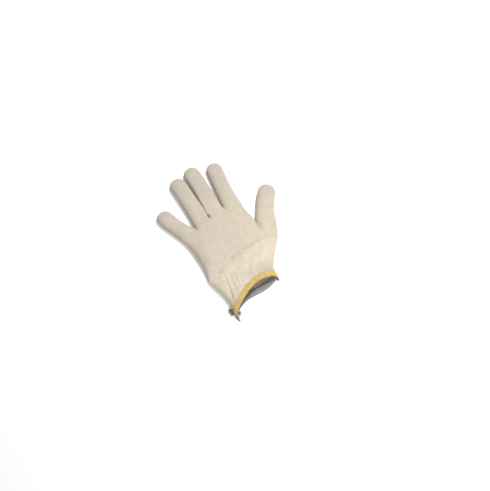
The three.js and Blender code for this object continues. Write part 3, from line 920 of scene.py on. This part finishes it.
def needleLine():
    # a row of straight stitches along the top of the hem
    count = int(loopLength / needleSetup["stitch"])
    turn = np.arange(count * needleSetup["steps"] + 1) / needleSetup["steps"]
    distance = turn * loopLength / count
    dip = needleSetup["dip"] * np.cos(2 * math.pi * turn) ** 4
    place, normal = onRing(outsideRing, distance, needleSetup["up"])
    path = place + normal * (hemSetup["proud"] + needleSetup["rise"] - dip)[:, None]
    return tube(keepAbove(path, needleSetup["clear"]), needleSetup["radius"], needleSetup["sides"])


chainRadius = hemSetup["chain"] / 2
outerTurn, innerTurn = hemSetup["startTurns"]
hemThread = meshObject("HemThread", *joined([
    threadTube(outsideRing, outerTurn, hemSetup["thread"] / 2, True),
    *edgeChain(0, farCorner, chainRadius),
]))
hemNeedle = meshObject("HemNeedleThread", *joined([needleLine()]))
hemLining = meshObject("HemInnerThread", *joined([
    threadTube(insideRing, innerTurn, hemSetup["thread"] * hemSetup["innerShare"], False),
    *edgeChain(farCorner, loopLength, chainRadius),
]))
hemBand = knitPiece("HemCore", strips, 0, lambda _: hemTop, 1, False, None)  # under the threads
print("The hem is laid, round a mouth of", round(loopLength, 1), "mm")


# Tail: the chain of thread that is left at the corner where the hem ends

tailSetup = {
    "length": 9.5,
    "width": 2.4,
    "turn": 182,
    "curl": -25,
    "setIn": 0.6,  # how far it starts inside the corner
    "strands": 3,
    "twists": 2.6,
    "strandWidth": 1.0,
    "strandSteps": 40,
    "loosen": (0.75, 0.35),  # how wide the twist is, at its start and gained by its end
    "flat": 0.8,
    "taper": 0.25,
    "sides": 8,
}
fraySetup = {
    "count": 7,
    "fan": 100,
    "length": 2.6,
    "shortest": 0.6,
    "root": 1.5,  # how far inside the twist a frayed end starts
    "drop": 0.6,
    "sway": 0.25,
    "radius": 0.18,
    "taper": 0.6,
    "clear": 0.2,
    "vary": 2.3,  # from one frayed end to the next, in radians, for their lengths
    "waves": 5,
    "steps": 8,
    "sides": 5,
}
tuftSetup = {
    "width": 0.5,
    "taper": 0.5,
    "shortest": 0.65,
    "stray": 9,
    "sway": 0.7,
    "fall": (2.2, 1.5),  # how soon and how steeply a thread falls to the table
    "lie": (0.7, 0.5),  # its height on the table and how far it waves up and down
    "vary": (2.3, 4.1, 1.7),  # from thread to thread, for their lengths, headings and waves
    "waves": (4, 5),  # aside and up
    "steps": 12,
    "sides": 5,
    # placed from their corner of the mouth: x, y, heading, fan, threads and length
    "tailSide": [
        (-1.2, 9.0, -58, 80, 26, 8.0),
        (-0.4, 5.0, -85, 90, 26, 9.0),
        (3.6, 2.2, 118, 80, 30, 7.5),
        (1.0, -1.0, 165, 60, 12, 7.0),
    ],
    "thumbSide": [(-1.5, 1.0, 128, 70, 20, 5.0), (-0.5, -1.0, 178, 60, 16, 5.5)],
}


def mouthCorner(plan):
    return np.array([*plan, handSections[0]["mid"]])


def tailStrands():
    # a twist of strands that hangs to the table, with its end frayed
    turn, length, width = tailSetup["turn"], tailSetup["length"], tailSetup["width"]
    endTurn = turn + tailSetup["curl"]
    strandRadius = tailSetup["strandWidth"] / 2
    start = mouthCentre - mouthHalf - heading(turn, tailSetup["setIn"])
    bend = start + heading(turn, length / 2)
    top = mouthCorner(start)
    end = np.array([*(bend + heading(endTurn, length / 2)), width / 2])
    share = np.linspace(0, 1, tailSetup["strandSteps"])[:, None]
    middle = onCurve((top, np.array([*bend, width]), end), share)
    ahead = unit(np.gradient(middle, axis=0))
    side = unit(np.cross(ahead, (0, 0, 1)))
    above = np.cross(side, ahead)
    tight, gained = tailSetup["loosen"]
    parts = []
    for strand in range(tailSetup["strands"]):
        phase = 2 * math.pi * (share * tailSetup["twists"] + strand / tailSetup["strands"])
        away = (width / 2 - strandRadius) * (tight + gained * share ** 3)
        path = middle + away * (np.cos(phase) * side + np.sin(phase) * above * tailSetup["flat"])
        radius = strandRadius * (1 - tailSetup["taper"] * share[:, 0] ** 4)
        parts.append(tube(keepAbove(path, strandRadius), radius, tailSetup["sides"]))
    steps = np.linspace(0, 1, fraySetup["steps"])[:, None]
    radius = fraySetup["radius"] * (1 - fraySetup["taper"] * steps[:, 0])
    for fray in range(fraySetup["count"]):
        fanned = fraySetup["fan"] * (fray / (fraySetup["count"] - 1) - 0.5)
        reach = uneven(fraySetup, fray * fraySetup["vary"])
        tip = end + np.array([*heading(endTurn + fanned, reach), -fraySetup["drop"] * (fray % 2)])
        path = between(end - fraySetup["root"] * ahead[-1], tip, steps)
        path += fraySetup["sway"] * np.sin(steps * fraySetup["waves"] + fray) * side[-1]
        parts.append(tube(keepAbove(path, fraySetup["clear"]), radius, fraySetup["sides"]))
    return parts + tuftStrands(top, tuftSetup["tailSide"])


def uneven(setup, phase, length=None):
    # a thread's length, between its shortest share and the whole
    whole = setup["length"] if length is None else length
    return whole * (setup["shortest"] + (1 - setup["shortest"]) * math.sin(phase) ** 2)


def tuftStrands(corner, tufts):
    # short loose threads that fan out from a corner of the mouth and fall to the table
    parts = []
    steps = np.linspace(0, 1, tuftSetup["steps"])[:, None]
    along = steps[:, 0]
    radius = tuftSetup["width"] / 2 * (1 - tuftSetup["taper"] * along)
    soon, steep = tuftSetup["fall"]
    lie, wave = tuftSetup["lie"]
    varyLength, varyTurn, varyWave = tuftSetup["vary"]
    wavesAside, wavesUp = tuftSetup["waves"]
    for right, up, turnMid, fan, count, length in tufts:
        for thread in range(count):
            turn = turnMid + fan * (thread / (count - 1) - 0.5)
            turn += tuftSetup["stray"] * math.sin(thread * varyTurn)
            out = np.array([*heading(turn, 1), 0])
            aside = np.array([out[1], -out[0], 0])
            reach = uneven(tuftSetup, thread * varyLength + 1, length)
            path = corner + (right, up, 0) - out + out * reach * steps
            path += aside * tuftSetup["sway"] * np.sin(steps * (wavesAside + thread % 3) + thread)
            fall = np.maximum(1 - along * soon, 0) ** steep
            path[:, 2] = corner[2] * fall + lie + wave * np.sin(along * wavesUp + thread * varyWave)
            parts.append(tube(path, radius, tuftSetup["sides"]))
    return parts


hemTail = meshObject("HemTail", *joined(tailStrands()))
# dark loose threads at the thumb-side corner, partly fraying and partly painted shade where the hem turns
# under
farTufts = tuftStrands(mouthCorner(mouthCentre + mouthHalf), tuftSetup["thumbSide"])
hemEnd = meshObject("HemEndThread", *joined(farTufts))
print("The hem's tail is twisted")


# Materials. A row of spots has its noise scale, detail and stretch, where the spots begin and
# are full, and how much of their colour shows.

cottonSetup = {
    "colour": (0.572, 0.507, 0.413),
    "warm": (0.635, 0.543, 0.42),
    "warmSpots": (34, 3.0, (1, 1, 1), 0.3, 0.7, 1.0),
    "shade": (0.34, 0.28, 0.21),  # painted shade in the gaps between stitches; the same colour also gives the yarn's darker streaks
    "gapShadeShare": 0.5,
    "yarnSpots": (1.3, 3.0, (1, 0.25, 1), 0.55, 0.75, 0.22),
    "fleck": (0.36, 0.28, 0.20),
    "fleckSpots": (900, 2.0, (1, 0.5, 1), 0.71, 0.78, 0.35),
    "dust": (0.39, 0.36, 0.325),  # grey of the mottling, and painted shade that darkens the fingers towards their tips
    "tipShadeShare": 0.42,
    "tipShadeCourses": (50.0, 120.0),
    "mottleSpots": (110, 4.0, (1, 1, 1), 0.42, 0.62, 0.2),
    "worn": (0.37, 0.34, 0.30),  # painted shade on the cuff's thumb side, above the hem
    "cuffShadeShare": 0.55,
    "cuffShadeCourses": (13.0, 3.0),
    "cuffShadeWales": (25.0, 40.0),
    # painted shade on the lining side of the knit, seen inside the mouth
    "inside": (0.37, 0.38, 0.37),
    "insideShadeShare": (0.85, 0.1),  # how much painted shade shows on the little finger's side and on the thumb side; the thumb side is kept lighter as painted light that comes in at the mouth
    "insideShadeWales": (24.0, 44.0),
    # painted light: the cuff's copy of the cotton is made lighter, as the cuff lies in brighter light
    "cuffLightTint": (1.12, 1.115, 1.11),
    "loopHeight": 0.3,  # how much of the yarn's height goes up and down along a wale
    "gapBelow": 0.35,
    "plies": 2.5,  # turns of the plies in a course
    "plyLean": 2.2,
    "fuzz": (2600, 4.0),
    "bump": (0.12, 0.55, 0.8),  # of the plies, the fuzz and the yarn
    "bumpStrength": 0.55,
    "bumpDepth": 0.25,
    "surface": {"Roughness": 0.92, "Sheen Weight": 0.25, "Sheen Roughness": 0.6, "Specular IOR Level": 0.2},
}
threadSetup = {
    "hem": {"colour": (0.635, 0.455, 0.138), "shade": (0.41, 0.25, 0.05)},
    "needle": {"colour": (0.66, 0.40, 0.16), "shade": (0.45, 0.24, 0.07)},
    # the pale inner thread is darkened to paint the shade along the mouth's lower rim
    "inner": {"colour": (0.27, 0.275, 0.265), "shade": (0.17, 0.17, 0.16)},
    # dark olive of the tail and the corner tufts: partly the thread's own colour, partly painted shade under
    # the hem's corners
    "tail": {"colour": (0.20, 0.19, 0.12), "shade": (0.09, 0.09, 0.07)},
    "fibres": (1500, 4.0, (1.0, 0.5, 1.0)),
    "patches": (160, 3.0),
    "shadeEdges": (0.42, 0.62),
    "shadeShare": 0.45,
    "bumpStrength": 0.6,
    "bumpDepth": 0.2,
    "surface": {"Roughness": 0.7, "Sheen Weight": 0.2},
}


def rgba(colour, tint=(1, 1, 1)):
    return (*(part * share for part, share in zip(colour, tint)), 1)


class Sketch:
    # a material's node tree, with short ways to add to it
    def __init__(self, name):
        self.material = bpy.data.materials.new(name)
        self.material.use_nodes = True
        self.tree = self.material.node_tree
        self.shader = self.tree.nodes["Principled BSDF"]

    def feed(self, socket, value):
        if isinstance(value, bpy.types.NodeSocket):
            self.tree.links.new(value, socket)
        else:
            socket.default_value = value

    def add(self, kind, inputs, output=0, **settings):
        # inputs go by a socket's name or number
        node = self.tree.nodes.new("ShaderNode" + kind)
        for key, value in settings.items():
            setattr(node, key, value)
        for key, value in inputs.items():
            self.feed(node.inputs[key], value)
        return node.outputs[output]

    def maths(self, operation, *values):
        return self.add("Math", dict(enumerate(values)), operation=operation)

    def times(self, a, b):
        return self.maths("MULTIPLY", a, b)

    def timesPlus(self, a, b, c):
        return self.maths("MULTIPLY_ADD", a, b, c)

    def blend(self, share, a, b):
        return self.add("Mix", {0: share, 6: a, 7: b}, 2, data_type="RGBA")

    def noise(self, place, scale, detail, stretch=(1, 1, 1)):
        spots = self.add("Mapping", {0: place, 3: stretch})
        return self.add("TexNoise", {"Vector": spots, "Scale": scale, "Detail": detail})

    def ramp(self, value, low, high):
        return self.add("MapRange", {0: value, 1: low, 2: high, 3: 0.0, 4: 1.0}, clamp=True)

    def spots(self, place, row):
        scale, detail, stretch, low, high, share = row
        return self.times(self.ramp(self.noise(place, scale, detail, stretch), low, high), share)

    def finish(self, colour, bump, setup):
        depth = setup["bumpDepth"] * mm
        normal = self.add("Bump", {"Height": bump, "Strength": setup["bumpStrength"], "Distance": depth})
        self.feed(self.shader.inputs["Base Color"], colour)
        self.feed(self.shader.inputs["Normal"], normal)
        for socket, value in setup["surface"].items():
            self.shader.inputs[socket].default_value = value
        return self.material


def cottonMaterial(name, tint):
    sketch = Sketch(name)
    times, timesPlus, ramp = sketch.times, sketch.timesPlus, sketch.ramp
    place = sketch.add("TexCoord", {}, "Object")
    stitch = sketch.add("Attribute", {}, "Vector", attribute_type="GEOMETRY", attribute_name="stitchPlace")
    wale, course, lining = sketch.add("SeparateXYZ", {0: stitch}).node.outputs
    side = times(sketch.maths("ABSOLUTE", sketch.maths("SUBTRACT", sketch.maths("FRACT", wale), 0.5)), 2.0)
    leg = sketch.maths("SINE", times(side, math.pi))
    phase = sketch.maths("SUBTRACT", course, times(side, knit["slant"]))
    loop = sketch.maths("COSINE", times(phase, 2 * math.pi))
    height = times(leg, timesPlus(loop, cottonSetup["loopHeight"], 1 - cottonSetup["loopHeight"]))
    turns = timesPlus(side, cottonSetup["plyLean"], phase)
    plies = sketch.maths("SINE", times(turns, 2 * math.pi * cottonSetup["plies"]))
    fuzz = sketch.noise(place, *cottonSetup["fuzz"])

    # painted shade on the lining, thinner on the thumb side as painted light
    little, thumbSide = cottonSetup["insideShadeShare"]
    inside = timesPlus(ramp(wale, *cottonSetup["insideShadeWales"]), thumbSide - little, little)
    # painted shade on the cuff above the hem, on the thumb side
    worn = times(ramp(course, *cottonSetup["cuffShadeCourses"]), ramp(wale, *cottonSetup["cuffShadeWales"]))
    layers = [  # how much shows of each colour, from the cloth up
        (sketch.spots(place, cottonSetup["mottleSpots"]), "dust"),
        (times(lining, inside), "inside"),
        (times(worn, cottonSetup["cuffShadeShare"]), "worn"),
        # painted shade towards the fingertips
        (times(ramp(course, *cottonSetup["tipShadeCourses"]), cottonSetup["tipShadeShare"]), "dust"),
        (sketch.spots(stitch, cottonSetup["yarnSpots"]), "shade"),
        # painted shade in the gaps between stitches
        (times(ramp(height, cottonSetup["gapBelow"], 0.0), cottonSetup["gapShadeShare"]), "shade"),
        (sketch.spots(place, cottonSetup["fleckSpots"]), "fleck"),
    ]
    cloth, warm = rgba(cottonSetup["colour"], tint), rgba(cottonSetup["warm"], tint)
    colour = sketch.blend(sketch.spots(place, cottonSetup["warmSpots"]), cloth, warm)
    for share, layer in layers:
        colour = sketch.blend(share, colour, rgba(cottonSetup[layer]))
    plyBump, fuzzBump, yarnBump = cottonSetup["bump"]
    bump = timesPlus(plies, plyBump, timesPlus(fuzz, fuzzBump, times(height, yarnBump)))
    return sketch.finish(colour, bump, cottonSetup)


def threadMaterial(name, thread):
    sketch = Sketch(name)
    place = sketch.add("TexCoord", {}, "Object")
    fibres = sketch.noise(place, *threadSetup["fibres"])
    patches = sketch.times(sketch.noise(place, *threadSetup["patches"]), 0.5)
    share = sketch.ramp(sketch.timesPlus(fibres, 0.5, patches), *threadSetup["shadeEdges"])
    share = sketch.times(share, threadSetup["shadeShare"])
    colours = threadSetup[thread]
    colour = sketch.blend(share, rgba(colours["colour"]), rgba(colours["shade"]))
    return sketch.finish(colour, fibres, threadSetup)


cottonKnit = cottonMaterial("NaturalCottonKnit", (1, 1, 1))
# a lighter copy of the cotton, painted light on the cuff and the hem band
litCuffKnit = cottonMaterial("CuffKnit", cottonSetup["cuffLightTint"])
hemYarn = threadMaterial("YellowOverlockThread", "hem")
needleYarn = threadMaterial("OrangeNeedleThread", "needle")
innerYarn = threadMaterial("PaleOverlockThread", "inner")
tailYarn = threadMaterial("TailThread", "tail")


def finishPiece(piece, material, slotName, *nodes):
    piece.data.materials.append(material)
    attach(piece, "root")
    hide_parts(*nodes)


for nodeName, piece in cottonPieces.items():
    finishPiece(piece, cottonKnit, "cotton_knit", nodeName)
finishPiece(cuffPiece, litCuffKnit, "cuff_knit", "cuff")
finishPiece(hemThread, hemYarn, "hem_thread", "hem")
finishPiece(hemNeedle, needleYarn, "hem_thread", "hem")
finishPiece(hemLining, innerYarn, "hem_thread", "hem")
finishPiece(hemEnd, tailYarn, "hem_thread", "hem")
finishPiece(hemBand, litCuffKnit, "cuff_knit", "hem")
finishPiece(hemTail, tailYarn, "hem_thread", "hem_tail")
print("Every piece has its material")
